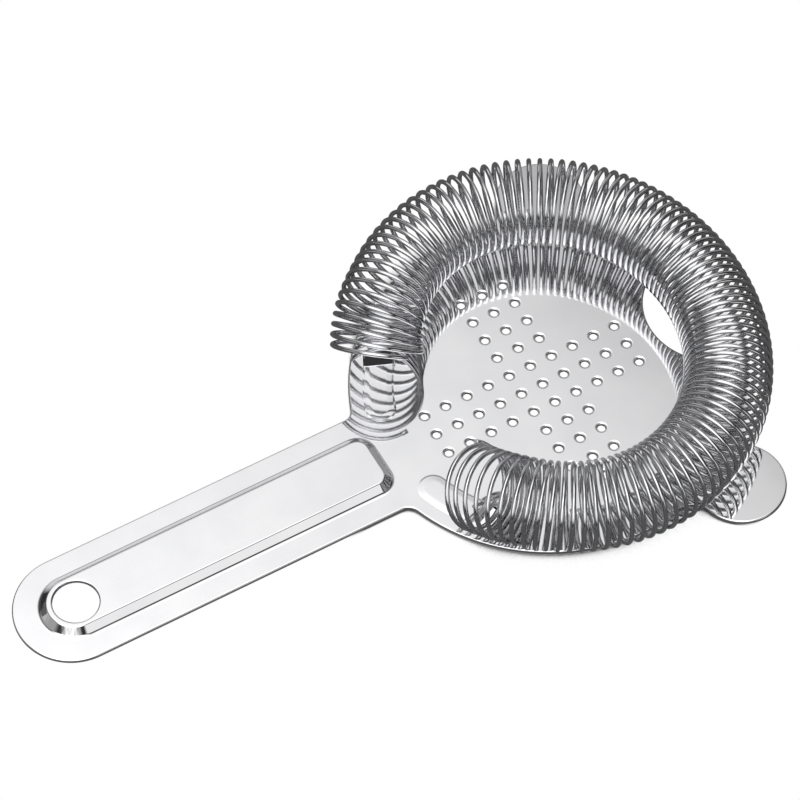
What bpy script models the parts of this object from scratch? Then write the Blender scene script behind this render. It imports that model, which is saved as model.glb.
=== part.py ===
"""Hawthorne strainer: a stamped steel plate with a handle, and a coil spring held on its two tabs.

The frame is +X from the handle towards the front of the disc and +Z towards the spring.
The plate lies on z = 0, and the origin is under the middle of the object's footprint.
All lengths are in metres.
"""
import math

import bmesh
import bpy
from mathutils import Matrix, Vector

# Driving dimensions of the plate.
HOLE_PITCH = 0.005
HOLE_RADIUS = 0.00105
THICKNESS = 0.0010
DISC_RADIUS = 0.0403
HANDLE_HALF_WIDTH = 0.0121
HANDLE_REACH = 0.12035
HANG_HOLE_RADIUS = 0.0047
HANG_HOLE_INSET = 0.01285
NECK_FILLET = 0.0025
EAR_RADIUS = 0.00935
EAR_X = 0.02225
EAR_Y = 0.0400
EAR_FILLET = 0.0040
NOTCH_RADIUS = 0.0140
NOTCH_X = 0.03975
NOTCH_ROUNDING = 0.0020
PATTERN_SHIFT = -0.0005

# The handle's pressed rib and the two pressed pads beside the neck.
RIB_HEIGHT = 0.0018
RIB_RUN = 0.0021
RIB_HALF_WIDTH = 0.0076
RIB_NECK_X = -0.0378
RIB_FAR_X = -0.1078
RIB_CORNER = 0.0043
GROOVE_WALL = 0.00055
GROOVE_EXTRA = 0.002
PAD_HEIGHT = 0.0004
PAD_RUN = 0.0006
PAD_HALF_WIDTH = 0.0034
PAD_RADIUS = 0.0341
PAD_START = math.radians(161.5)

# The tabs that hold the spring, each bent up out of its own window.
TAB_ANGLE = math.radians(142.6)
TAB_TURN = math.radians(15)
TAB_RADIUS = 0.0344
TAB_WIDTH = 0.0062
TAB_LENGTH = 0.0040
TAB_RISE = math.radians(60)
TAB_ROOT_BACK = 0.0003
TAB_ROOT_UP = 0.0002
WINDOW_LENGTH = 0.0042
WINDOW_WIDTH = 0.0068

# The spring: a coil bent into an open ring.
WIRE_RADIUS = 0.0005
COIL_RADIUS = 0.0085
COIL_GAP = 0.0003
COIL_TURNS = 102
POINTS_PER_TURN = 8
RING_RADIUS = 0.0362
RING_FORWARD = 0.0029
RING_OVAL = 0.0016
RING_SKEW = 0.0008
RING_START = math.radians(-149)
RING_END = math.radians(150)
RING_CROWDING = math.radians(6)
FIRST_TURN_ANGLE = math.radians(135)

# The coil's two ends lean back over the tabs, and the far one is also wider, higher and twisted.
END_FROM = math.radians(118)
END_TO = math.radians(146)
NEAR_END_LEAN = math.radians(34)
FAR_END_LEAN = math.radians(38)
FAR_END_YAW = math.radians(12)
FAR_END_LIFT = 0.0006
FAR_END_GROWTH = 0.0006
FAR_END_SHIFT = 0.0005

STEEL_COLOUR = (0.80, 0.80, 0.82)
STEEL_ROUGHNESS = 0.06
WIRE_COLOUR = (0.72, 0.72, 0.74)
WIRE_ROUGHNESS = 0.12

ARC_STEP = math.radians(9)
SLOPE_STEP = 0.001
HOLE_SIDES = 12
HOLE_TURN = math.radians(7.3)
HANG_HOLE_SIDES = 40
CUTTER_REACH = 0.006
SAME_POINT = 1e-6
FRONT_REACH = PATTERN_SHIFT + RING_RADIUS + RING_FORWARD - RING_OVAL + COIL_RADIUS + WIRE_RADIUS
DISC_X = (HANDLE_REACH - FRONT_REACH) / 2


def clear_scene():
    for old in list(bpy.data.objects):
        bpy.data.objects.remove(old, do_unlink=True)


def new_collection(name):
    collection = bpy.data.collections.new(name)
    bpy.context.scene.collection.children.link(collection)
    return collection


def steel(name, colour, roughness):
    material = bpy.data.materials.new(name)
    material.use_nodes = True
    shader = material.node_tree.nodes["Principled BSDF"]
    shader.inputs["Base Color"].default_value = (*colour, 1.0)
    shader.inputs["Metallic"].default_value = 1.0
    shader.inputs["Roughness"].default_value = roughness
    return material


# ---- flat outlines, as lists of (x, y) measured from the disc's centre

def arc(centre, radius, start, end):
    """Points on an arc from start to end, turning whichever way the two angles say."""
    steps = max(1, math.ceil(abs(end - start) / ARC_STEP))
    points = []
    for i in range(steps + 1):
        angle = start + (end - start) * i / steps
        points.append((centre[0] + radius * math.cos(angle), centre[1] + radius * math.sin(angle)))
    return points


def angle_to(centre, point):
    return math.atan2(point[1] - centre[1], point[0] - centre[0])


def circle_meeting(centre_a, radius_a, centre_b, radius_b, side):
    """Where two circles cross, on the side of the line from a to b that side says."""
    dx = centre_b[0] - centre_a[0]
    dy = centre_b[1] - centre_a[1]
    distance = math.hypot(dx, dy)
    along = (distance ** 2 + radius_a ** 2 - radius_b ** 2) / (2 * distance)
    across = side * math.sqrt(radius_a ** 2 - along ** 2)
    return (centre_a[0] + (along * dx - across * dy) / distance,
            centre_a[1] + (along * dy + across * dx) / distance)


def half_outline():
    """The plate's edge with y above zero, from the handle's tip round to the front notch."""
    disc = (0.0, 0.0)
    ear = (EAR_X, EAR_Y)
    notch = (NOTCH_X, 0.0)
    handle_end = (HANDLE_HALF_WIDTH - HANDLE_REACH, 0.0)
    neck_y = HANDLE_HALF_WIDTH + NECK_FILLET
    neck = (-math.sqrt((DISC_RADIUS + NECK_FILLET) ** 2 - neck_y ** 2), neck_y)
    back = circle_meeting(disc, DISC_RADIUS + EAR_FILLET, ear, EAR_RADIUS + EAR_FILLET, 1)
    front = circle_meeting(disc, DISC_RADIUS + EAR_FILLET, ear, EAR_RADIUS + EAR_FILLET, -1)
    horn = circle_meeting(disc, DISC_RADIUS - NOTCH_ROUNDING, notch, NOTCH_RADIUS + NOTCH_ROUNDING, 1)
    points = arc(handle_end, HANDLE_HALF_WIDTH, math.pi, math.pi / 2)
    points += arc(neck, NECK_FILLET, -math.pi / 2, angle_to(neck, disc))
    points += arc(disc, DISC_RADIUS, angle_to(disc, neck), angle_to(disc, back))
    points += arc(back, EAR_FILLET, angle_to(back, disc), angle_to(back, ear))
    points += arc(ear, EAR_RADIUS, angle_to(ear, back) % math.tau, angle_to(ear, front))
    points += arc(front, EAR_FILLET, angle_to(front, ear) % math.tau, angle_to(front, disc) % math.tau)
    points += arc(disc, DISC_RADIUS, angle_to(disc, front), angle_to(disc, horn))
    points += arc(horn, NOTCH_ROUNDING, angle_to(disc, horn), angle_to(horn, notch))
    points += arc(notch, NOTCH_RADIUS, angle_to(notch, horn), math.pi)
    return points


def clean_loop(points):
    """Drop points that repeat the one before them."""
    kept = []
    for point in points:
        if not kept or math.dist(point, kept[-1]) > SAME_POINT:
            kept.append(point)
    if math.dist(kept[0], kept[-1]) < SAME_POINT:
        kept.pop()
    return kept


def plate_outline():
    upper = half_outline()
    lower = [(x, -y) for x, y in reversed(upper)]
    return clean_loop(upper + lower)


def rib_outline(shrink):
    """The rib's foot, drawn in from its full size by shrink: square at the neck, round at the far end."""
    half = RIB_HALF_WIDTH - shrink
    corner = RIB_CORNER - shrink
    neck_x = RIB_NECK_X - shrink
    points = arc((RIB_FAR_X, 0.0), half, math.pi * 1.5, math.pi * 0.5)
    points += arc((neck_x - corner, half - corner), corner, math.pi * 0.5, 0.0)
    points += arc((neck_x - corner, corner - half), corner, 0.0, -math.pi * 0.5)
    return clean_loop(points)


def pad_outline(side, shrink):
    """A pad's foot: a band round the disc with a round end by the neck, open at its tab."""
    half = PAD_HALF_WIDTH - shrink
    end = PAD_START
    tip = (PAD_RADIUS * math.cos(end), PAD_RADIUS * math.sin(end))
    points = arc((0.0, 0.0), PAD_RADIUS + half, TAB_ANGLE, end)
    points += arc(tip, half, end, end + math.pi)
    points += arc((0.0, 0.0), PAD_RADIUS - half, end, TAB_ANGLE)
    points = clean_loop(points)
    if side < 0:
        points = [(x, -y) for x, y in reversed(points)]
    return points


def strainer_holes():
    """Centres of the small holes: three rows across three columns, in a cross."""
    cells = [(i, j) for i in range(-5, 5) for j in (-1, 0, 1)]
    cells += [(i, j) for i in (-1, 0, 1) for j in (-5, -4, -3, -2, 2, 3, 4, 5)]
    return [(PATTERN_SHIFT + i * HOLE_PITCH, j * HOLE_PITCH) for i, j in cells]


def hole_loop(centre, index):
    """A small hole's sides, turned a little from hole to hole, so that no row of corners is in line."""
    start = index * HOLE_TURN
    angles = [start + math.tau * i / HOLE_SIDES for i in range(HOLE_SIDES)]
    return [(centre[0] + HOLE_RADIUS * math.cos(a), centre[1] + HOLE_RADIUS * math.sin(a)) for a in angles]


# ---- solids

def mesh_object(name, bm, collection):
    mesh = bpy.data.meshes.new(name)
    bm.to_mesh(mesh)
    bm.free()
    made = bpy.data.objects.new(name, mesh)
    collection.objects.link(made)
    return made


def sheet_from_outlines(name, loops, thickness, collection):
    """A flat sheet from z = 0 to its thickness, from a filled 2D curve whose inner loops are holes."""
    curve = bpy.data.curves.new(name, "CURVE")
    curve.dimensions = "2D"
    curve.fill_mode = "BOTH"
    curve.extrude = thickness / 2
    for loop in loops:
        spline = curve.splines.new("POLY")
        spline.points.add(len(loop) - 1)
        for point, (x, y) in zip(spline.points, loop):
            point.co = (x, y, 0.0, 1.0)
        spline.use_cyclic_u = True
    guide = bpy.data.objects.new(name + "_curve", curve)
    guide.location = (DISC_X, 0.0, thickness / 2)
    collection.objects.link(guide)
    bpy.context.view_layer.update()
    evaluated = guide.evaluated_get(bpy.context.evaluated_depsgraph_get())
    mesh = bpy.data.meshes.new_from_object(evaluated)
    made = bpy.data.objects.new(name, mesh)
    made.matrix_world = guide.matrix_world
    collection.objects.link(made)
    bm = bmesh.new()
    bm.from_mesh(mesh)
    bmesh.ops.remove_doubles(bm, verts=bm.verts, dist=SAME_POINT)
    bmesh.ops.recalc_face_normals(bm, faces=bm.faces)
    bm.to_mesh(mesh)
    bm.free()
    bpy.data.objects.remove(guide, do_unlink=True)
    return made


def loft_block(name, low_loop, low_z, high_loop, high_z, collection):
    """A closed block between two outlines with the same number of points, one above the other."""
    bm = bmesh.new()
    low = [bm.verts.new((x + DISC_X, y, low_z)) for x, y in low_loop]
    high = [bm.verts.new((x + DISC_X, y, high_z)) for x, y in high_loop]
    count = len(low)
    bm.faces.new(list(reversed(low)))
    bm.faces.new(high)
    for i in range(count):
        after = (i + 1) % count
        bm.faces.new((low[i], low[after], high[after], high[i]))
    bmesh.ops.recalc_face_normals(bm, faces=bm.faces)
    return mesh_object(name, bm, collection)


def box_object(name, size, placement, collection):
    bm = bmesh.new()
    bmesh.ops.create_cube(bm, size=1.0)
    bmesh.ops.scale(bm, vec=size, verts=bm.verts)
    bmesh.ops.transform(bm, matrix=placement, verts=bm.verts)
    bmesh.ops.recalc_face_normals(bm, faces=bm.faces)
    return mesh_object(name, bm, collection)


def as_cutter(made):
    made.hide_render = True
    made.display_type = "WIRE"
    return made


def boolean(target, other, operation):
    modifier = target.modifiers.new(operation.lower() + "_" + other.name, "BOOLEAN")
    modifier.operation = operation
    modifier.object = other
    modifier.solver = "EXACT"
    return modifier


def tab_frame(side):
    """Origin and axes at a tab's bend: outwards along the bend, forwards into the spring, up."""
    facing = TAB_ANGLE + TAB_TURN
    outward = Vector((math.cos(facing), side * math.sin(facing), 0.0))
    forward = Vector((math.sin(facing), -side * math.cos(facing), 0.0))
    bend = Vector((DISC_X + TAB_RADIUS * math.cos(TAB_ANGLE), side * TAB_RADIUS * math.sin(TAB_ANGLE), 0.0))
    return bend, outward, forward


def tab_block(side, collection):
    """The tab itself, standing up out of the plate and leaning forwards into the spring."""
    bend, outward, forward = tab_frame(side)
    rise = forward * math.cos(TAB_RISE) + Vector((0.0, 0.0, math.sin(TAB_RISE)))
    face = outward.cross(rise)
    if face.z < 0:
        face.negate()
    root = bend - forward * TAB_ROOT_BACK + Vector((0.0, 0.0, TAB_ROOT_UP))
    middle = root + rise * (TAB_LENGTH / 2) + face * (THICKNESS / 2)
    turn = Matrix((outward, rise, face)).transposed().to_4x4()
    name = "tab_left" if side > 0 else "tab_right"
    size = (TAB_WIDTH, TAB_LENGTH, THICKNESS)
    return box_object(name, size, Matrix.Translation(middle) @ turn, collection)


def tab_window(side, collection):
    """The window that the tab was bent up from."""
    bend, outward, forward = tab_frame(side)
    up = Vector((0.0, 0.0, 1.0))
    middle = bend + forward * (WINDOW_LENGTH / 2)
    turn = Matrix((outward, forward, up)).transposed().to_4x4()
    name = "window_left" if side > 0 else "window_right"
    size = (WINDOW_WIDTH, WINDOW_LENGTH, 2 * CUTTER_REACH)
    return box_object(name, size, Matrix.Translation(middle) @ turn, collection)


def make_plate(parts, cutters):
    """One stamping: disc, ears and handle, with the rib and pads pressed up and the tabs bent up."""
    loops = [plate_outline()]
    loops += [hole_loop(centre, i) for i, centre in enumerate(strainer_holes())]
    plate = sheet_from_outlines("strainer_plate", loops, THICKNESS, parts)
    rib = loft_block("rib_form", rib_outline(0.0), THICKNESS / 2, rib_outline(RIB_RUN),
                     THICKNESS + RIB_HEIGHT, cutters)
    spread = RIB_RUN * GROOVE_EXTRA / RIB_HEIGHT
    groove = loft_block("rib_groove", rib_outline(GROOVE_WALL - spread), -GROOVE_EXTRA,
                        rib_outline(GROOVE_WALL + RIB_RUN), RIB_HEIGHT, cutters)
    boolean(plate, as_cutter(rib), "UNION")
    boolean(plate, as_cutter(groove), "DIFFERENCE")
    for side in (1, -1):
        pad = loft_block("pad_left" if side > 0 else "pad_right", pad_outline(side, 0.0), THICKNESS / 2,
                         pad_outline(side, PAD_RUN), THICKNESS + PAD_HEIGHT, cutters)
        boolean(plate, as_cutter(pad), "UNION")
        boolean(plate, as_cutter(tab_window(side, cutters)), "DIFFERENCE")
        boolean(plate, as_cutter(tab_block(side, cutters)), "UNION")
    bm = bmesh.new()
    bmesh.ops.create_cone(bm, segments=HANG_HOLE_SIDES, radius1=HANG_HOLE_RADIUS, radius2=HANG_HOLE_RADIUS,
                          depth=2 * CUTTER_REACH, cap_ends=True)
    bmesh.ops.translate(bm, verts=bm.verts, vec=(DISC_X + HANG_HOLE_INSET - HANDLE_REACH, 0.0, 0.0))
    boolean(plate, as_cutter(mesh_object("hang_hole", bm, cutters)), "DIFFERENCE")
    plate.data.materials.append(steel("polished_steel", STEEL_COLOUR, STEEL_ROUGHNESS))
    return plate


# ---- the spring

def smooth_step(value):
    value = min(1.0, max(0.0, value))
    return value * value * (3 - 2 * value)


def end_share(angle):
    """0 round the front of the ring, rising to 1 at its two ends."""
    return smooth_step((abs(angle) - END_FROM) / (END_TO - END_FROM))


def far_share(angle):
    """The same, but 0 all the way to the near end."""
    return end_share(angle) if angle > 0 else 0.0


def coil_radius(angle):
    return COIL_RADIUS + FAR_END_GROWTH * far_share(angle)


def coil_lean(angle):
    """How far a turn leans back over its end of the ring, negative at the near end."""
    return FAR_END_LEAN * far_share(angle) if angle > 0 else -NEAR_END_LEAN * end_share(angle)


def ring_point(angle):
    """The middle of the coil's tube at an angle round the disc."""
    radius = (RING_RADIUS + RING_FORWARD * math.cos(angle) - RING_OVAL * math.cos(2 * angle)
              + RING_SKEW * math.sin(angle) + FAR_END_SHIFT * far_share(angle))
    height = THICKNESS + COIL_GAP + WIRE_RADIUS + coil_radius(angle) * math.cos(coil_lean(angle))
    height += FAR_END_LIFT * far_share(angle)
    return Vector((DISC_X + PATTERN_SHIFT + radius * math.cos(angle), radius * math.sin(angle), height))


def coil_point(share):
    """A point on the wire's middle line, from its first end at 0 to its last end at 1."""
    even = RING_START + (RING_END - RING_START) * share
    angle = even - RING_CROWDING * math.sin(even)
    turn = FIRST_TURN_ANGLE + math.tau * COIL_TURNS * share
    along = ring_point(angle + SLOPE_STEP) - ring_point(angle - SLOPE_STEP)
    along.z = 0.0
    along.normalize()
    along.rotate(Matrix.Rotation(-FAR_END_YAW * far_share(angle), 3, "Z"))
    outward = Vector((along.y, -along.x, 0.0))
    lean = coil_lean(angle)
    upward = Vector((0.0, 0.0, math.cos(lean))) + along * math.sin(lean)
    return ring_point(angle) + coil_radius(angle) * (outward * math.cos(turn) + upward * math.sin(turn))


def make_spring(parts):
    """One wire wound into a coil, the coil lying in an open ring on the plate."""
    curve = bpy.data.curves.new("coil_spring", "CURVE")
    curve.dimensions = "3D"
    curve.bevel_depth = WIRE_RADIUS
    curve.bevel_resolution = 1
    curve.use_fill_caps = True
    count = COIL_TURNS * POINTS_PER_TURN + 1
    spline = curve.splines.new("POLY")
    spline.points.add(count - 1)
    for i, point in enumerate(spline.points):
        point.co = (*coil_point(i / (count - 1)), 1.0)
    spring = bpy.data.objects.new("coil_spring", curve)
    parts.objects.link(spring)
    curve.materials.append(steel("spring_steel", WIRE_COLOUR, WIRE_ROUGHNESS))
    return spring


def main():
    clear_scene()
    parts = new_collection("hawthorne_strainer")
    cutters = new_collection("cutters")
    make_plate(parts, cutters)
    make_spring(parts)


main()
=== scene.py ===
"""Looks of the hawthorne strainer: a mirror-polished stamped plate, and the coil spring on its two tabs.

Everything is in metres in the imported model's frame: +X from the handle to the front of the disc, +Z up
through the spring, with the plate lying on z = 0. Flat outlines are measured from the disc's centre.
"""
import math

import bmesh
import bpy
from mathutils import Matrix, Vector
from mathutils.geometry import delaunay_2d_cdt


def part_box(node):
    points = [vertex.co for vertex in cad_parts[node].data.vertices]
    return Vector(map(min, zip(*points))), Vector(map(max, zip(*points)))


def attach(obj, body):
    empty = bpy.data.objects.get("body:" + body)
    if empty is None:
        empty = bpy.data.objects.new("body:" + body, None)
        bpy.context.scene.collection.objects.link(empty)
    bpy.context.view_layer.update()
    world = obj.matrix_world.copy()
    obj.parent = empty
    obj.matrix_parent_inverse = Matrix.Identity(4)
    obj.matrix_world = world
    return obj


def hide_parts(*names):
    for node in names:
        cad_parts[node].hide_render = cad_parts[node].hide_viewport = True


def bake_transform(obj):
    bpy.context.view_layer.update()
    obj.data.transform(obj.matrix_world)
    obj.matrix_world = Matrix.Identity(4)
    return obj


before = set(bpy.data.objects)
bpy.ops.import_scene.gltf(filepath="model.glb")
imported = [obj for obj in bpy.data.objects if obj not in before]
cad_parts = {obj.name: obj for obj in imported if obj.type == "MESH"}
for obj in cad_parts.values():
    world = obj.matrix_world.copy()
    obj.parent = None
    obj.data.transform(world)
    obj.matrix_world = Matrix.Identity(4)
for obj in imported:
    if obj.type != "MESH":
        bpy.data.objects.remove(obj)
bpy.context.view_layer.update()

PLATE_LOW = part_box("strainer_plate")[0]

# The plate's driving dimensions: the solid's, but for the small holes, which narrow below rounded lips.
HOLE_PITCH = 0.005
HOLE_RADIUS = 0.00082
THICKNESS = 0.0010
DISC_RADIUS = 0.0403
HANDLE_HALF_WIDTH = 0.0121
HANDLE_REACH = 0.12035
HANG_HOLE_RADIUS = 0.0047
HANG_HOLE_INSET = 0.01285
NECK_FILLET = 0.0025
EAR_RADIUS = 0.00935
EAR_X = 0.02225
EAR_Y = 0.0400
EAR_FILLET = 0.0040
NOTCH_RADIUS = 0.0140
NOTCH_X = 0.03975
NOTCH_ROUNDING = 0.0020
PATTERN_SHIFT = -0.0005
DISC_X = PLATE_LOW.x + HANDLE_REACH

# Pressed shapes: each rises from its foot by a bend, a slope and a bend.
RIB_HEIGHT = 0.0018
RIB_SLOPE = math.radians(50)
RIB_FOOT_BEND = 0.0010
RIB_TOP_BEND = 0.0004
RIB_HALF_WIDTH = 0.0076
RIB_NECK_X = -0.0378
RIB_FAR_X = -0.1078
RIB_CORNER = 0.0043
RIB_BEND_STEPS = 6
PAD_HEIGHT = 0.00010
PAD_SLOPE = math.radians(7)
PAD_BEND = 0.0004
PAD_BEND_STEPS = 4
PAD_CROWN = 0.00005
PAD_CROWN_STEP = 0.0004
PAD_HALF_WIDTH = 0.0032
PAD_RADIUS = 0.0342
PAD_START = math.radians(161.5)
PAD_JOIN = math.radians(1.5)

# The tabs, in coordinates across and forward from the middle of the bend.
TAB_ANGLE = math.radians(142.6)
TAB_TURN = math.radians(15)
TAB_RADIUS = 0.0344
TAB_ROOT = -0.00085
TAB_LENGTH = 0.00378
TAB_RISE = math.radians(56)
TAB_INNER_BEND = 0.00015
TAB_BEND_STEPS = 6
TAB_RUN_OUT = 0.0008
WINDOW_LENGTH = 0.0032
WINDOW_HALF_WIDTH = 0.00335

# Rounded edges. A guard line beside the rim, the holes and the rib keeps long triangles off them.
RIM_ROUNDING = 0.00028
HOLE_ROUNDING = 0.00045
WINDOW_ROUNDING = 0.00005
WINDOW_MARGIN = 0.0005
GUARD = 0.00010
ROUNDING_STEPS = 4
FINE_STEP = math.radians(3)
HOLE_SIDES = 32
HANG_HOLE_SIDES = 72
HOLE_EDGE_SLACK = 1.1
STEP_SLACK = 1e-6
SAME_POINT = 2e-6
NET_TOLERANCE = 1e-6

# The spring.
WIRE_RADIUS = 0.0005
WIRE_GAP = 0.00003
COIL_RADIUS = 0.00862
COIL_TURNS = 102
POINTS_PER_TURN = 48
WIRE_SIDES = 10
SLOPE_STEP = 0.001
RING_RADIUS = 0.0360
RING_FORWARD = 0.0029
RING_OVAL = 0.0016
RING_SKEW = 0.0008
RING_START = math.radians(-149.3)
RING_END = math.radians(150.3)
RING_CROWDING = math.radians(6)
NEAR_CROWDING = math.radians(2.6)
NEAR_CROWDING_REACH = 0.04
FIRST_TURN_ANGLE = math.radians(135)

# The coil's two ends lean back over the tabs, and the far one is also wider, higher and twisted.
END_FROM = math.radians(118)
END_TO = math.radians(146)
NEAR_END_LEAN = math.radians(34)
FAR_END_LEAN = math.radians(38)
FAR_END_YAW = math.radians(12)
FAR_END_LIFT = 0.0009
FAR_END_GROWTH = 0.0006
FAR_END_SHIFT = 0.0005

# Materials. A noise is its scale, detail and stretch, and a bump is its depth and strength.
NOISE_RANGE = (0.3, 0.7)
STEEL_GREYS = ((0.80, 0.80, 0.815), (0.86, 0.86, 0.87))
STEEL_ROUGHNESS = (0.035, 0.075)
SMEAR_NOISE = (90.0, 4.0)
BUFFING_NOISE = (260.0, 3.0, (0.25, 7.0, 1.0))
BUFFING_BUMP = (0.000004, 0.25)
WAVE_NOISE = (38.0, 1.0)
WAVE_BUMP = (0.00010, 0.35)
WIRE_GREYS = ((0.54, 0.54, 0.555), (0.76, 0.76, 0.775))
WIRE_ROUGHNESS = (0.05, 0.12)
DRAWN_NOISE = (1.0, 3.0, (90.0, 14.0, 1.0))
DRAWN_BUMP = (0.00002, 0.3)

# The studio: greys of the walls from straight down, 0, to straight up, 1, and soft round lights,
# each with its centre and its brightness at angles in degrees from there. The first light is what the
# flat plate mirrors to the camera, the second stands behind the camera, and the rest are low down.
WALLS = ((0.0, 0.30), (0.50, 0.35), (0.51, 0.20), (0.56, 0.04), (0.80, 0.03), (0.93, 0.06),
         (0.97, 0.75), (1.0, 0.95))
LIGHTS = (
    ((0.0, 0.36, 0.933), ((0, 1.08), (10, 1.05), (13, 1.02), (16, 0.93), (18.7, 0.80), (19.6, 0.71),
                          (20.3, 0.54), (21.5, 0.42), (30, 0.30), (40, 0.22), (46, 0.0))),
    ((-0.45, -0.45, 0.77), ((0, 1.60), (26, 1.60), (38, 0.0))),
    ((0.26, -0.91, 0.32), ((0, 0.95), (12, 0.95), (18, 0.0))),
    ((0.15, 0.95, 0.28), ((0, 0.85), (11, 0.85), (19, 0.0))),
    ((0.80, 0.52, 0.30), ((0, 0.35), (20, 0.35), (34, 0.0))),
    ((-0.93, 0.30, 0.20), ((0, 0.35), (20, 0.35), (32, 0.0))),
)

# The floor glows, with a painted shadow on it: how dark the painted shadow is by the floor's share of open
# sky, where in view that painted shadow shows, by distance from the disc's centre in units of GAP_SCALE,
# and the floor's brightness to the camera and to reflections.
FLOOR_HALF_SIZE = 4.0
FLOOR_DROP = 0.0004
PAINTED_SHADOW_REACH = 0.008
PAINTED_SHADOW_BY_OPENNESS = ((0.0, 0.96), (0.40, 0.92), (0.52, 0.0))
GAP_SCALE = 0.1
PAINTED_SHADOW_RING = ((0.390, 0.0), (0.402, 1.0), (0.500, 1.0), (0.540, 0.0))
FLOOR_IN_VIEW = 1.0
FLOOR_IN_STEEL = 0.12

# The camera.
CAMERA_AZIMUTH = math.radians(-29.329)
CAMERA_ELEVATION = math.radians(57.435)
CAMERA_DISTANCE = 0.8594
CAMERA_LENS = 189.0
CAMERA_NEAREST = 0.05
LOOK_ACROSS = -0.02923
LOOK_UP = -0.00342


# ---- flat outlines

def arc(centre, radius, start, end, step=FINE_STEP):
    """Points on an arc from start to end, turning whichever way the two angles say."""
    steps = max(1, math.ceil(abs(end - start) / step - STEP_SLACK))
    angles = [start + (end - start) * i / steps for i in range(steps + 1)]
    return [(centre[0] + radius * math.cos(a), centre[1] + radius * math.sin(a)) for a in angles]


def angle_to(centre, point):
    return math.atan2(point[1] - centre[1], point[0] - centre[0])


def circle_meeting(centre_a, radius_a, centre_b, radius_b, side):
    """Where two circles cross, on the side of the line from a to b that side says."""
    dx = centre_b[0] - centre_a[0]
    dy = centre_b[1] - centre_a[1]
    distance = math.hypot(dx, dy)
    along = (distance ** 2 + radius_a ** 2 - radius_b ** 2) / (2 * distance)
    across = side * math.sqrt(radius_a ** 2 - along ** 2)
    return (centre_a[0] + (along * dx - across * dy) / distance,
            centre_a[1] + (along * dy + across * dx) / distance)


def half_outline(inset):
    """The plate's edge with y above zero, drawn in by inset, from the handle's tip to the front notch."""
    disc = (0.0, 0.0)
    ear = (EAR_X, EAR_Y)
    notch = (NOTCH_X, 0.0)
    handle_end = (HANDLE_HALF_WIDTH - HANDLE_REACH, 0.0)
    neck_y = HANDLE_HALF_WIDTH + NECK_FILLET
    neck = (-math.sqrt((DISC_RADIUS + NECK_FILLET) ** 2 - neck_y ** 2), neck_y)
    back = circle_meeting(disc, DISC_RADIUS + EAR_FILLET, ear, EAR_RADIUS + EAR_FILLET, 1)
    front = circle_meeting(disc, DISC_RADIUS + EAR_FILLET, ear, EAR_RADIUS + EAR_FILLET, -1)
    horn = circle_meeting(disc, DISC_RADIUS - NOTCH_ROUNDING, notch, NOTCH_RADIUS + NOTCH_ROUNDING, 1)
    points = arc(handle_end, HANDLE_HALF_WIDTH - inset, math.pi, math.pi / 2)
    points += arc(neck, NECK_FILLET + inset, -math.pi / 2, angle_to(neck, disc))
    points += arc(disc, DISC_RADIUS - inset, angle_to(disc, neck), angle_to(disc, back))
    points += arc(back, EAR_FILLET + inset, angle_to(back, disc), angle_to(back, ear))
    points += arc(ear, EAR_RADIUS - inset, angle_to(ear, back) % math.tau, angle_to(ear, front))
    points += arc(front, EAR_FILLET + inset, angle_to(front, ear) % math.tau,
                  angle_to(front, disc) % math.tau)
    points += arc(disc, DISC_RADIUS - inset, angle_to(disc, front), angle_to(disc, horn))
    points += arc(horn, NOTCH_ROUNDING - inset, angle_to(disc, horn), angle_to(horn, notch))
    points += arc(notch, NOTCH_RADIUS + inset, angle_to(notch, horn), math.pi)
    return points


def clean_line(points, closed):
    """Drop points that repeat the one before them."""
    kept = []
    for point in points:
        if not kept or math.dist(point, kept[-1]) > SAME_POINT:
            kept.append(point)
    if closed and math.dist(kept[0], kept[-1]) < SAME_POINT:
        kept.pop()
    return kept


def plate_outline(inset):
    upper = half_outline(inset)
    lower = [(x, -y) for x, y in reversed(upper)]
    return clean_line(upper + lower, True)


def rib_outline(shrink):
    """The rib's foot drawn in by shrink: square at the neck, round at the far end."""
    half = RIB_HALF_WIDTH - shrink
    corner = RIB_CORNER - shrink
    neck_x = RIB_NECK_X - RIB_CORNER
    side_y = RIB_HALF_WIDTH - RIB_CORNER
    points = arc((RIB_FAR_X, 0.0), half, math.pi * 1.5, math.pi * 0.5)
    points += arc((neck_x, side_y), corner, math.pi * 0.5, 0.0)
    points += arc((neck_x, -side_y), corner, 0.0, -math.pi * 0.5)
    return clean_line(points, True)


def tab_frame(side):
    """Middle of the bend, and the directions outwards along it and forwards into the spring."""
    facing = TAB_ANGLE + TAB_TURN
    outward = Vector((math.cos(facing), side * math.sin(facing)))
    forward = Vector((math.sin(facing), -side * math.cos(facing)))
    return Vector((math.cos(TAB_ANGLE), side * math.sin(TAB_ANGLE))) * TAB_RADIUS, outward, forward


def tab_point(side, across, ahead):
    bend, outward, forward = tab_frame(side)
    point = bend + outward * across + forward * ahead
    return (point.x, point.y)


def tab_place(side, x, y):
    """The same point as distances across and ahead of the middle of the bend."""
    bend, outward, forward = tab_frame(side)
    away = Vector((x, y)) - bend
    return away.dot(outward), away.dot(forward)


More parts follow.
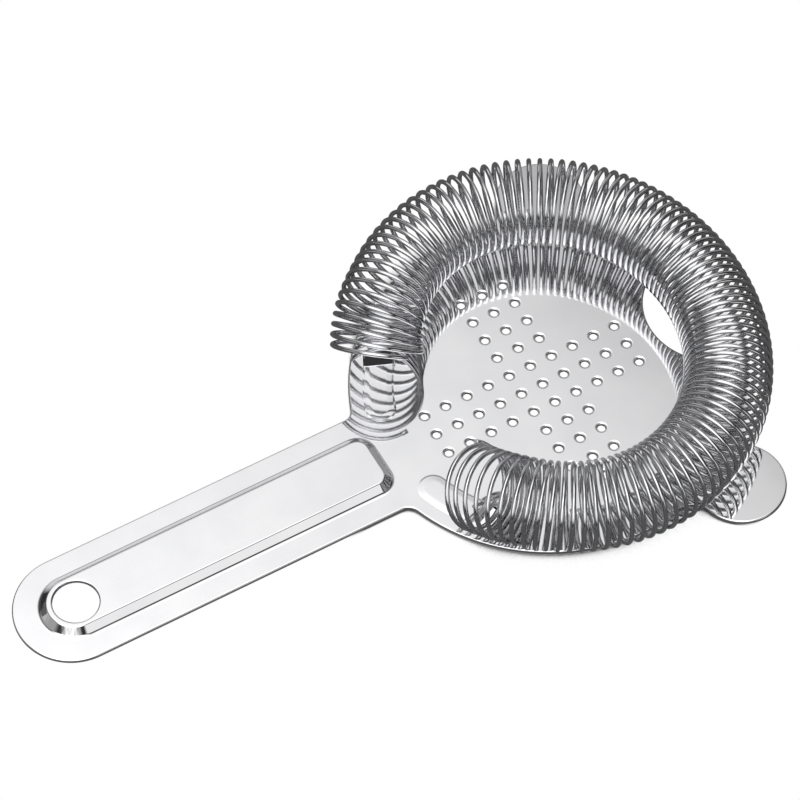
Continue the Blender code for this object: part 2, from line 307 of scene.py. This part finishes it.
def pad_line(side, shrink):
    """A line round the pad, shrink inside its foot, from the tab's tip round the pad and back."""
    half = PAD_HALF_WIDTH - shrink
    tip = (PAD_RADIUS * math.cos(PAD_START), PAD_RADIUS * math.sin(PAD_START))
    first = [angle_to((0.0, 0.0), tab_point(1, across, TAB_ROOT)) + PAD_JOIN for across in (half, -half)]
    points = arc((0.0, 0.0), PAD_RADIUS + half, first[0], PAD_START)
    points += arc(tip, half, PAD_START, PAD_START + math.pi, step=2 * FINE_STEP)
    points += arc((0.0, 0.0), PAD_RADIUS - half, PAD_START, first[1])
    points = [(x, side * y) for x, y in points]
    bend_length = TAB_RISE * (TAB_INNER_BEND + THICKNESS / 2)
    stops = [TAB_ROOT + bend_length * i / TAB_BEND_STEPS for i in range(TAB_BEND_STEPS + 1)]
    stops += [TAB_ROOT + bend_length + TAB_RUN_OUT, TAB_LENGTH + TAB_ROOT - WINDOW_ROUNDING]
    outer = [tab_point(side, half, stop) for stop in reversed(stops)]
    inner = [tab_point(side, -half, stop) for stop in stops]
    return clean_line(outer + points + inner, False)


def window_loop(side):
    """The slit round a tab, widened by the rounding of its edges."""
    grow = WINDOW_ROUNDING
    outer = WINDOW_HALF_WIDTH + grow
    inner = PAD_HALF_WIDTH - grow
    back = TAB_ROOT
    tip = TAB_LENGTH + TAB_ROOT - grow
    front = WINDOW_LENGTH + grow
    corners = [(outer, back), (outer, front), (-outer, front), (-outer, back),
               (-inner, back), (-inner, tip), (inner, tip), (inner, back)]
    return [tab_point(side, across, ahead) for across, ahead in corners]


def in_window(side, x, y):
    across, ahead = tab_place(side, x, y)
    grow = WINDOW_ROUNDING
    outside = abs(across) > WINDOW_HALF_WIDTH + grow or not TAB_ROOT < ahead < WINDOW_LENGTH + grow
    on_tab = abs(across) < PAD_HALF_WIDTH - grow and ahead < TAB_LENGTH + TAB_ROOT - grow
    return not outside and not on_tab


def strainer_holes():
    """Centres of the small holes: three rows across three columns, in a cross."""
    cells = [(i, j) for i in range(-5, 5) for j in (-1, 0, 1)]
    cells += [(i, j) for i in (-1, 0, 1) for j in (-5, -4, -3, -2, 2, 3, 4, 5)]
    return [(PATTERN_SHIFT + i * HOLE_PITCH, j * HOLE_PITCH) for i, j in cells]


def circle_loop(centre, radius, sides):
    angles = [math.tau * i / sides for i in range(sides)]
    return [(centre[0] + radius * math.cos(a), centre[1] + radius * math.sin(a)) for a in angles]


# ---- pressed heights

def press_profile(height, slope, foot_bend, top_bend, steps):
    """Stations of a pressed wall, as (distance in from the foot, height): a bend, a slope and a bend."""
    straight = (height - (foot_bend + top_bend) * (1 - math.cos(slope))) / math.sin(slope)
    stations = []
    for i in range(steps + 1):
        turn = slope * i / steps
        stations.append((foot_bend * math.sin(turn), foot_bend * (1 - math.cos(turn))))
    run, rise = stations[-1]
    run += straight * math.cos(slope)
    rise += straight * math.sin(slope)
    for i in range(steps + 1):
        turn = slope * (1 - i / steps)
        stations.append((run + top_bend * (math.sin(slope) - math.sin(turn)),
                         rise + top_bend * (math.cos(turn) - math.cos(slope))))
    return stations


RIB_STATIONS = press_profile(RIB_HEIGHT, RIB_SLOPE, RIB_FOOT_BEND, RIB_TOP_BEND, RIB_BEND_STEPS)
PAD_STATIONS = press_profile(PAD_HEIGHT - PAD_CROWN, PAD_SLOPE, PAD_BEND, PAD_BEND, PAD_BEND_STEPS)


def profile_height(stations, depth):
    """Height of a pressed wall at a distance in from its foot."""
    if depth <= stations[0][0]:
        return 0.0
    for (low, low_height), (high, high_height) in zip(stations, stations[1:]):
        if depth <= high:
            share = (depth - low) / (high - low)
            return low_height + (high_height - low_height) * share
    return stations[-1][1]


def rib_depth(x, y):
    """Distance in from the rib's foot, below zero outside it."""
    if x < RIB_FAR_X:
        return RIB_HALF_WIDTH - math.hypot(x - RIB_FAR_X, y)
    past = x - (RIB_NECK_X - RIB_CORNER)
    aside = abs(y) - (RIB_HALF_WIDTH - RIB_CORNER)
    if past > 0 and aside > 0:
        return RIB_CORNER - math.hypot(past, aside)
    return min(RIB_NECK_X - x, RIB_HALF_WIDTH - abs(y))


def pad_depth(x, y):
    """Distance in from the nearer pad's foot; a tab has the section of its pad all along."""
    side = 1 if y > 0 else -1
    across, ahead = tab_place(side, x, y)
    if TAB_ROOT < ahead < WINDOW_LENGTH:
        return PAD_HALF_WIDTH - abs(across)
    if ahead > 0:
        return -1.0
    angle = math.atan2(abs(y), x)
    if angle < PAD_START:
        return PAD_HALF_WIDTH - abs(math.hypot(x, y) - PAD_RADIUS)
    tip = (PAD_RADIUS * math.cos(PAD_START), PAD_RADIUS * math.sin(PAD_START))
    return PAD_HALF_WIDTH - math.hypot(x - tip[0], abs(y) - tip[1])


def sheet_height(x, y):
    """How far the sheet is pressed up at a point of its flat outline."""
    rise = profile_height(RIB_STATIONS, rib_depth(x, y))
    depth = pad_depth(x, y)
    if depth > 0:
        rise += profile_height(PAD_STATIONS, depth)
        foot = PAD_STATIONS[-1][0]
        if depth > foot:
            share = (depth - foot) / (PAD_HALF_WIDTH - foot)
            rise += PAD_CROWN * share * (2 - share)
    return rise


def bent_point(x, y, z):
    """Where a point of the flat sheet goes: in place, or bent up if it is on a tab."""
    side = 1 if y > 0 else -1
    across, ahead = tab_place(side, x, y)
    reach = ahead - TAB_ROOT
    beside = abs(across) > (PAD_HALF_WIDTH + WINDOW_HALF_WIDTH) / 2
    if beside or reach < 0 or ahead > (TAB_LENGTH + TAB_ROOT + WINDOW_LENGTH) / 2:
        return Vector((DISC_X + x, y, z))
    neutral = TAB_INNER_BEND + THICKNESS / 2
    pivot = THICKNESS + PAD_HEIGHT + TAB_INNER_BEND
    turn = min(reach / neutral, TAB_RISE)
    rest = reach - turn * neutral
    radius = pivot - z
    forward = radius * math.sin(turn) + rest * math.cos(turn)
    up = pivot - radius * math.cos(turn) + rest * math.sin(turn)
    flat = tab_point(side, across, TAB_ROOT + forward)
    return Vector((DISC_X + flat[0], flat[1], up))


# ---- the plate

def sheet_lines():
    """Every closed loop and open line that the flat sheet's points lie on, with its edges rounded away."""
    hang = (HANG_HOLE_INSET - HANDLE_REACH, 0.0)
    closed = [plate_outline(RIM_ROUNDING), plate_outline(RIM_ROUNDING + GUARD)]
    for rounding in (RIM_ROUNDING, RIM_ROUNDING + GUARD):
        closed.append(circle_loop(hang, HANG_HOLE_RADIUS + rounding, HANG_HOLE_SIDES))
    for centre in strainer_holes():
        for rounding in (HOLE_ROUNDING, HOLE_ROUNDING + GUARD):
            closed.append(circle_loop(centre, HOLE_RADIUS + rounding, HOLE_SIDES))
    shrinks = [-GUARD] + [station[0] for station in RIB_STATIONS] + [RIB_STATIONS[-1][0] + GUARD]
    closed += [rib_outline(shrink) for shrink in shrinks]
    crown = [PAD_STATIONS[-1][0] + PAD_CROWN_STEP * i for i in range(1, 4)]
    lines = []
    for side in (1, -1):
        closed.append(window_loop(side))
        for shrink in [WINDOW_ROUNDING] + [station[0] for station in PAD_STATIONS[2:]] + crown:
            lines.append(pad_line(side, shrink))
    return closed, lines


def flat_triangles():
    """Points and triangles of the flat sheet: a Delaunay net on its lines, less what is cut away."""
    closed, lines = sheet_lines()
    points = []
    edges = []
    for loop in closed:
        first = len(points)
        points += loop
        edges += [(first + i, first + (i + 1) % len(loop)) for i in range(len(loop))]
    for line in lines:
        first = len(points)
        points += line
        edges += [(first + i, first + i + 1) for i in range(len(line) - 1)]
    made = delaunay_2d_cdt([Vector(p) for p in points], edges, [], 0, NET_TOLERANCE)
    corners = [(p.x, p.y) for p in made[0]]
    outline = plate_outline(RIM_ROUNDING)
    holes = strainer_holes()
    kept = [f for f in made[2] if is_metal([corners[i] for i in f], outline, holes)]
    return corners, kept


def is_inside(x, y, outline):
    """Whether a point lies within a closed outline, by counting the edges to its right."""
    inside = False
    for (ax, ay), (bx, by) in zip(outline, outline[1:] + outline[:1]):
        if (ay > y) != (by > y) and x < ax + (y - ay) * (bx - ax) / (by - ay):
            inside = not inside
    return inside


def is_metal(triangle, outline, holes):
    """Whether a triangle's middle lies in the sheet and in none of its holes or windows."""
    x = sum(p[0] for p in triangle) / 3
    y = sum(p[1] for p in triangle) / 3
    if math.hypot(x - HANG_HOLE_INSET + HANDLE_REACH, y) < HANG_HOLE_RADIUS + RIM_ROUNDING:
        return False
    for cx, cy in holes:
        if abs(x - cx) < HOLE_PITCH / 2 and math.hypot(x - cx, y - cy) < HOLE_RADIUS + HOLE_ROUNDING:
            return False
    if in_window(1 if y > 0 else -1, x, y):
        return False
    return is_inside(x, y, outline)


def edge_rounding(x, y, holes):
    """Radius of the rounding on the cut edge at a point."""
    for cx, cy in holes:
        if math.hypot(x - cx, y - cy) < HOLE_RADIUS + HOLE_EDGE_SLACK * HOLE_ROUNDING:
            return HOLE_ROUNDING
    across, ahead = tab_place(1 if y > 0 else -1, x, y)
    alongside = abs(across) < WINDOW_HALF_WIDTH + WINDOW_MARGIN
    if alongside and TAB_ROOT - WINDOW_MARGIN < ahead < WINDOW_LENGTH + WINDOW_MARGIN:
        return WINDOW_ROUNDING
    return RIM_ROUNDING


def outward_at(before, here, after):
    """Direction out of the sheet at a cut edge, lengthened at a corner so that both sides move alike."""
    first = Vector((here[1] - before[1], before[0] - here[0])).normalized()
    second = Vector((after[1] - here[1], here[0] - after[0])).normalized()
    both = first + second
    return both / max(0.5, 1 + first.dot(second))


def rim_column(out, rounding, top, bottom):
    """Points down a cut edge between the upper and lower face, rounded at both, as (move out, height)."""
    turns = [math.pi / 2 * i / ROUNDING_STEPS for i in range(1, ROUNDING_STEPS + 1)]
    upper = [(out * rounding * math.sin(t), top - rounding * (1 - math.cos(t))) for t in turns]
    lower = [(out * rounding * math.sin(t), bottom + rounding * (1 - math.cos(t))) for t in reversed(turns)]
    return upper + lower


def plate_mesh():
    """The stamped sheet as one closed mesh: upper face, lower face, and the rounded edges between them."""
    corners, triangles = flat_triangles()
    holes = strainer_holes()
    after = {}
    before = {}
    halves = {(f[i], f[(i + 1) % 3]) for f in triangles for i in range(3)}
    for a, b in halves:
        if (b, a) not in halves:
            after[a] = b
            before[b] = a
    bm = bmesh.new()
    used = sorted({i for f in triangles for i in f})
    upper = {}
    lower = {}
    columns = {}
    for i in used:
        x, y = corners[i]
        rise = sheet_height(x, y)
        upper[i] = bm.verts.new(bent_point(x, y, THICKNESS + rise))
        lower[i] = bm.verts.new(bent_point(x, y, rise))
        if i in after:
            out = outward_at(corners[before[i]], corners[i], corners[after[i]])
            column = rim_column(out, edge_rounding(x, y, holes), THICKNESS + rise, rise)
            made = [bm.verts.new(bent_point(x + move.x, y + move.y, z)) for move, z in column]
            columns[i] = [upper[i]] + made + [lower[i]]
    for f in triangles:
        bm.faces.new([upper[i] for i in f])
        bm.faces.new([lower[i] for i in reversed(f)])
    for a, b in after.items():
        for k in range(len(columns[a]) - 1):
            bm.faces.new((columns[b][k], columns[a][k], columns[a][k + 1], columns[b][k + 1]))
    for face in bm.faces:
        face.smooth = True
    mesh = bpy.data.meshes.new("plate")
    bm.to_mesh(mesh)
    bm.free()
    return mesh


def make_plate():
    plate = bpy.data.objects.new("stamped_plate", plate_mesh())
    bpy.context.scene.collection.objects.link(plate)
    plate.modifiers.new("flat_faces_stay_flat", "WEIGHTED_NORMAL").mode = "FACE_AREA"
    plate.data.materials.append(polished_steel())
    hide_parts("strainer_plate")
    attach(plate, "plate")
    return plate


# ---- the spring

def smooth_step(value):
    value = min(1.0, max(0.0, value))
    return value * value * (3 - 2 * value)


def end_share(angle):
    """0 round the front of the ring, rising to 1 at its two ends."""
    return smooth_step((abs(angle) - END_FROM) / (END_TO - END_FROM))


def far_share(angle):
    """The same, but 0 all the way to the near end."""
    return end_share(angle) if angle > 0 else 0.0


def coil_radius(angle):
    return COIL_RADIUS + FAR_END_GROWTH * far_share(angle)


def coil_lean(angle):
    """How far a turn leans back over its end of the ring, negative at the near end."""
    return FAR_END_LEAN * far_share(angle) if angle > 0 else -NEAR_END_LEAN * end_share(angle)


def ring_point(angle):
    """The middle of the coil's tube at an angle round the disc."""
    radius = (RING_RADIUS + RING_FORWARD * math.cos(angle) - RING_OVAL * math.cos(2 * angle)
              + RING_SKEW * math.sin(angle) + FAR_END_SHIFT * far_share(angle))
    height = THICKNESS + WIRE_GAP + WIRE_RADIUS + coil_radius(angle) * math.cos(coil_lean(angle))
    height += FAR_END_LIFT * far_share(angle)
    return Vector((DISC_X + PATTERN_SHIFT + radius * math.cos(angle), radius * math.sin(angle), height))


def coil_point(share):
    """A point on the wire's middle line and its direction away from the middle of the coil's tube."""
    even = RING_START + (RING_END - RING_START) * share
    even -= NEAR_CROWDING * (1 - math.exp(-share / NEAR_CROWDING_REACH) - share)
    angle = even - RING_CROWDING * math.sin(even)
    turn = FIRST_TURN_ANGLE + math.tau * COIL_TURNS * share
    along = ring_point(angle + SLOPE_STEP) - ring_point(angle - SLOPE_STEP)
    along.z = 0.0
    along.normalize()
    along.rotate(Matrix.Rotation(-FAR_END_YAW * far_share(angle), 3, "Z"))
    outward = Vector((along.y, -along.x, 0.0))
    lean = coil_lean(angle)
    upward = Vector((0.0, 0.0, math.cos(lean))) + along * math.sin(lean)
    away = outward * math.cos(turn) + upward * math.sin(turn)
    return ring_point(angle) + coil_radius(angle) * away, away


def wire_mesh():
    """The wire as a closed tube, with a map of distance along it and turn round it."""
    count = COIL_TURNS * POINTS_PER_TURN
    stations = [coil_point(i / count) for i in range(count + 1)]
    bm = bmesh.new()
    uv_layer = bm.loops.layers.uv.new("along_wire")
    rings = []
    for i, (point, away) in enumerate(stations):
        ahead = stations[min(i + 1, count)][0] - stations[max(i - 1, 0)][0]
        ahead.normalize()
        side = ahead.cross(away).normalized()
        out = side.cross(ahead)
        angles = [math.tau * k / WIRE_SIDES for k in range(WIRE_SIDES)]
        rings.append([bm.verts.new(point + WIRE_RADIUS * (out * math.cos(a) + side * math.sin(a)))
                      for a in angles])
    segment = math.tau * COIL_RADIUS / POINTS_PER_TURN
    for i in range(count):
        for k in range(WIRE_SIDES):
            after = (k + 1) % WIRE_SIDES
            face = bm.faces.new((rings[i][k], rings[i][after], rings[i + 1][after], rings[i + 1][k]))
            face.smooth = True
            places = ((i, k), (i, k + 1), (i + 1, k + 1), (i + 1, k))
            for loop, (along, around) in zip(face.loops, places):
                loop[uv_layer].uv = (along * segment, around / WIRE_SIDES)
    bm.faces.new(list(reversed(rings[0])))
    bm.faces.new(rings[-1])
    bmesh.ops.recalc_face_normals(bm, faces=bm.faces)
    mesh = bpy.data.meshes.new("wire")
    bm.to_mesh(mesh)
    bm.free()
    return mesh


def make_spring():
    spring = bpy.data.objects.new("spring_coil", wire_mesh())
    bpy.context.scene.collection.objects.link(spring)
    spring.data.materials.append(spring_steel())
    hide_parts("coil_spring")
    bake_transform(spring)
    return spring


# ---- materials

def new_material(name):
    material = bpy.data.materials.new(name)
    material.use_nodes = True
    return material, material.node_tree, material.node_tree.nodes["Principled BSDF"]


def noise(tree, coordinates, scale, detail, stretch=(1.0, 1.0, 1.0)):
    """A noise texture on stretched coordinates; gives its value socket."""
    mapping = tree.nodes.new("ShaderNodeMapping")
    mapping.inputs["Scale"].default_value = stretch
    texture = tree.nodes.new("ShaderNodeTexNoise")
    texture.inputs["Scale"].default_value = scale
    texture.inputs["Detail"].default_value = detail
    tree.links.new(coordinates, mapping.inputs["Vector"])
    tree.links.new(mapping.outputs["Vector"], texture.inputs["Vector"])
    return texture.outputs["Fac"]


def spread(tree, value, low, high):
    """A noise's middle range mapped onto low to high."""
    node = tree.nodes.new("ShaderNodeMapRange")
    node.inputs["From Min"].default_value = NOISE_RANGE[0]
    node.inputs["From Max"].default_value = NOISE_RANGE[1]
    node.inputs["To Min"].default_value = low
    node.inputs["To Max"].default_value = high
    tree.links.new(value, node.inputs["Value"])
    return node.outputs["Result"]


def grey_between(tree, value, dark, light):
    """A noise's middle range as a colour from dark to light."""
    ramp = tree.nodes.new("ShaderNodeValToRGB")
    for element, place, grey in zip(ramp.color_ramp.elements, NOISE_RANGE, (dark, light)):
        element.position = place
        element.color = (*grey, 1.0)
    tree.links.new(value, ramp.inputs["Fac"])
    return ramp.outputs["Color"]


def bump(tree, height, distance, strength, below=None):
    node = tree.nodes.new("ShaderNodeBump")
    node.inputs["Distance"].default_value = distance
    node.inputs["Strength"].default_value = strength
    tree.links.new(height, node.inputs["Height"])
    if below is not None:
        tree.links.new(below, node.inputs["Normal"])
    return node.outputs["Normal"]


def polished_steel():
    """Buffed sheet: nearly a mirror, with slow waves, faint smears and fine buffing lines."""
    material, tree, shader = new_material("polished_steel")
    place = tree.nodes.new("ShaderNodeTexCoord").outputs["Object"]
    smears = noise(tree, place, *SMEAR_NOISE)
    lines = noise(tree, place, *BUFFING_NOISE)
    waves = noise(tree, place, *WAVE_NOISE)
    shader.inputs["Metallic"].default_value = 1.0
    tree.links.new(grey_between(tree, smears, *STEEL_GREYS), shader.inputs["Base Color"])
    tree.links.new(spread(tree, smears, *STEEL_ROUGHNESS), shader.inputs["Roughness"])
    wavy = bump(tree, waves, *WAVE_BUMP)
    tree.links.new(bump(tree, lines, *BUFFING_BUMP, wavy), shader.inputs["Normal"])
    return material


def spring_steel():
    """Drawn wire: bright, with fine lines along it."""
    material, tree, shader = new_material("spring_steel")
    along_wire = tree.nodes.new("ShaderNodeUVMap")
    along_wire.uv_map = "along_wire"
    drawn = noise(tree, along_wire.outputs["UV"], *DRAWN_NOISE)
    shader.inputs["Metallic"].default_value = 1.0
    tree.links.new(grey_between(tree, drawn, *WIRE_GREYS), shader.inputs["Base Color"])
    tree.links.new(spread(tree, drawn, *WIRE_ROUGHNESS), shader.inputs["Roughness"])
    tree.links.new(bump(tree, drawn, *DRAWN_BUMP), shader.inputs["Normal"])
    return material


# ---- floor, light and camera

def grey_ramp(tree, factor, stops):
    """Greys at stops from 0 to 1 along a factor."""
    ramp = tree.nodes.new("ShaderNodeValToRGB")
    elements = ramp.color_ramp.elements
    while len(elements) < len(stops):
        elements.new(0.5)
    for element, (place, grey) in zip(elements, stops):
        element.position = place
        element.color = (grey, grey, grey, 1.0)
    tree.links.new(factor, ramp.inputs["Fac"])
    return ramp.outputs["Color"]


def math_node(tree, operation, first, second=None):
    """One step of arithmetic on sockets or numbers."""
    node = tree.nodes.new("ShaderNodeMath")
    node.operation = operation
    for value, socket in zip((first, second), node.inputs):
        if isinstance(value, (int, float)):
            socket.default_value = value
        elif value is not None:
            tree.links.new(value, socket)
    return node.outputs["Value"]


def make_floor():
    """The light table that the strainer lies on."""
    mesh = bpy.data.meshes.new("floor")
    bm = bmesh.new()
    bmesh.ops.create_grid(bm, x_segments=1, y_segments=1, size=FLOOR_HALF_SIZE)
    bm.to_mesh(mesh)
    bm.free()
    floor = bpy.data.objects.new("floor", mesh)
    floor.location.z = -FLOOR_DROP
    bpy.context.scene.collection.objects.link(floor)
    mesh.materials.append(white_table_painted_shadow())


def white_table_painted_shadow():
    """White in view, but for a painted shadow in the narrow gap round the disc, and a dark grey in the
    steel's reflections, with painted shadow under the object there. It glows, so no real shadow falls on
    it: the shadow is painted from ambient occlusion."""
    material, tree, shader = new_material("white_table_painted_shadow")
    tree.nodes.remove(shader)
    openness = tree.nodes.new("ShaderNodeAmbientOcclusion")
    openness.inputs["Distance"].default_value = PAINTED_SHADOW_REACH
    from_disc = tree.nodes.new("ShaderNodeVectorMath")
    from_disc.operation = "DISTANCE"
    from_disc.inputs[1].default_value = (DISC_X, 0.0, 0.0)
    tree.links.new(tree.nodes.new("ShaderNodeTexCoord").outputs["Object"], from_disc.inputs[0])
    ring = math_node(tree, "DIVIDE", from_disc.outputs["Value"], GAP_SCALE)
    in_view = tree.nodes.new("ShaderNodeLightPath").outputs["Is Camera Ray"]
    in_reflection = math_node(tree, "SUBTRACT", 1.0, in_view)
    # Painted shadow: ambient occlusion darkens the glowing floor in the ring round the disc in view, and
    # everywhere in the steel's reflections.
    where = math_node(tree, "MAXIMUM", grey_ramp(tree, ring, PAINTED_SHADOW_RING), in_reflection)
    shade = math_node(tree, "MULTIPLY", grey_ramp(tree, openness.outputs["AO"], PAINTED_SHADOW_BY_OPENNESS), where)
    light = math_node(tree, "SUBTRACT", 1.0, shade)
    level = tree.nodes.new("ShaderNodeMapRange")
    level.inputs["To Min"].default_value = FLOOR_IN_STEEL
    level.inputs["To Max"].default_value = FLOOR_IN_VIEW
    tree.links.new(in_view, level.inputs["Value"])
    glow = tree.nodes.new("ShaderNodeEmission")
    tree.links.new(math_node(tree, "MULTIPLY", level.outputs["Result"], light), glow.inputs["Strength"])
    tree.links.new(glow.outputs["Emission"], tree.nodes["Material Output"].inputs["Surface"])
    return material


def studio_light(tree, direction, centre, stops):
    """A round soft light in the sky: its brightness at angles, in degrees, away from its centre."""
    dot = tree.nodes.new("ShaderNodeVectorMath")
    dot.operation = "DOT_PRODUCT"
    dot.inputs[1].default_value = Vector(centre).normalized()
    tree.links.new(direction, dot.inputs[0])
    share = math_node(tree, "DIVIDE", math_node(tree, "ARCCOSINE", dot.outputs["Value"]), math.pi / 2)
    return grey_ramp(tree, share, [(degrees / 90, grey) for degrees, grey in stops])


def make_world():
    """A dark studio with soft lights, and a dim grey rim where its walls meet the floor."""
    world = bpy.data.worlds.new("studio")
    bpy.context.scene.world = world
    world.use_nodes = True
    tree = world.node_tree
    background = tree.nodes["Background"]
    direction = tree.nodes.new("ShaderNodeTexCoord").outputs["Generated"]
    parts = tree.nodes.new("ShaderNodeSeparateXYZ")
    tree.links.new(direction, parts.inputs["Vector"])
    height = tree.nodes.new("ShaderNodeMapRange")
    height.inputs["From Min"].default_value = -1.0
    tree.links.new(parts.outputs["Z"], height.inputs["Value"])
    total = grey_ramp(tree, height.outputs["Result"], WALLS)
    for centre, stops in LIGHTS:
        add = tree.nodes.new("ShaderNodeVectorMath")
        add.operation = "ADD"
        tree.links.new(total, add.inputs[0])
        tree.links.new(studio_light(tree, direction, centre, stops), add.inputs[1])
        total = add.outputs["Vector"]
    tree.links.new(total, background.inputs["Color"])
    background.inputs["Strength"].default_value = 1.0


def make_camera():
    back = Vector((math.sin(CAMERA_AZIMUTH) * math.cos(CAMERA_ELEVATION),
                   -math.cos(CAMERA_AZIMUTH) * math.cos(CAMERA_ELEVATION), math.sin(CAMERA_ELEVATION)))
    right = Vector((math.cos(CAMERA_AZIMUTH), math.sin(CAMERA_AZIMUTH), 0.0))
    up = back.cross(right)
    pattern_middle = Vector((DISC_X + PATTERN_SHIFT, 0.0, THICKNESS))
    camera = bpy.data.objects.new("camera", bpy.data.cameras.new("camera"))
    camera.data.lens = CAMERA_LENS
    camera.data.clip_start = CAMERA_NEAREST
    camera.location = pattern_middle + right * LOOK_ACROSS + up * LOOK_UP + back * CAMERA_DISTANCE
    camera.rotation_euler = (-back).to_track_quat("-Z", "Y").to_euler()
    bpy.context.scene.collection.objects.link(camera)
    bpy.context.scene.camera = camera


make_plate()
make_spring()
make_floor()
make_world()
make_camera()
bpy.context.scene.view_settings.view_transform = "Standard"
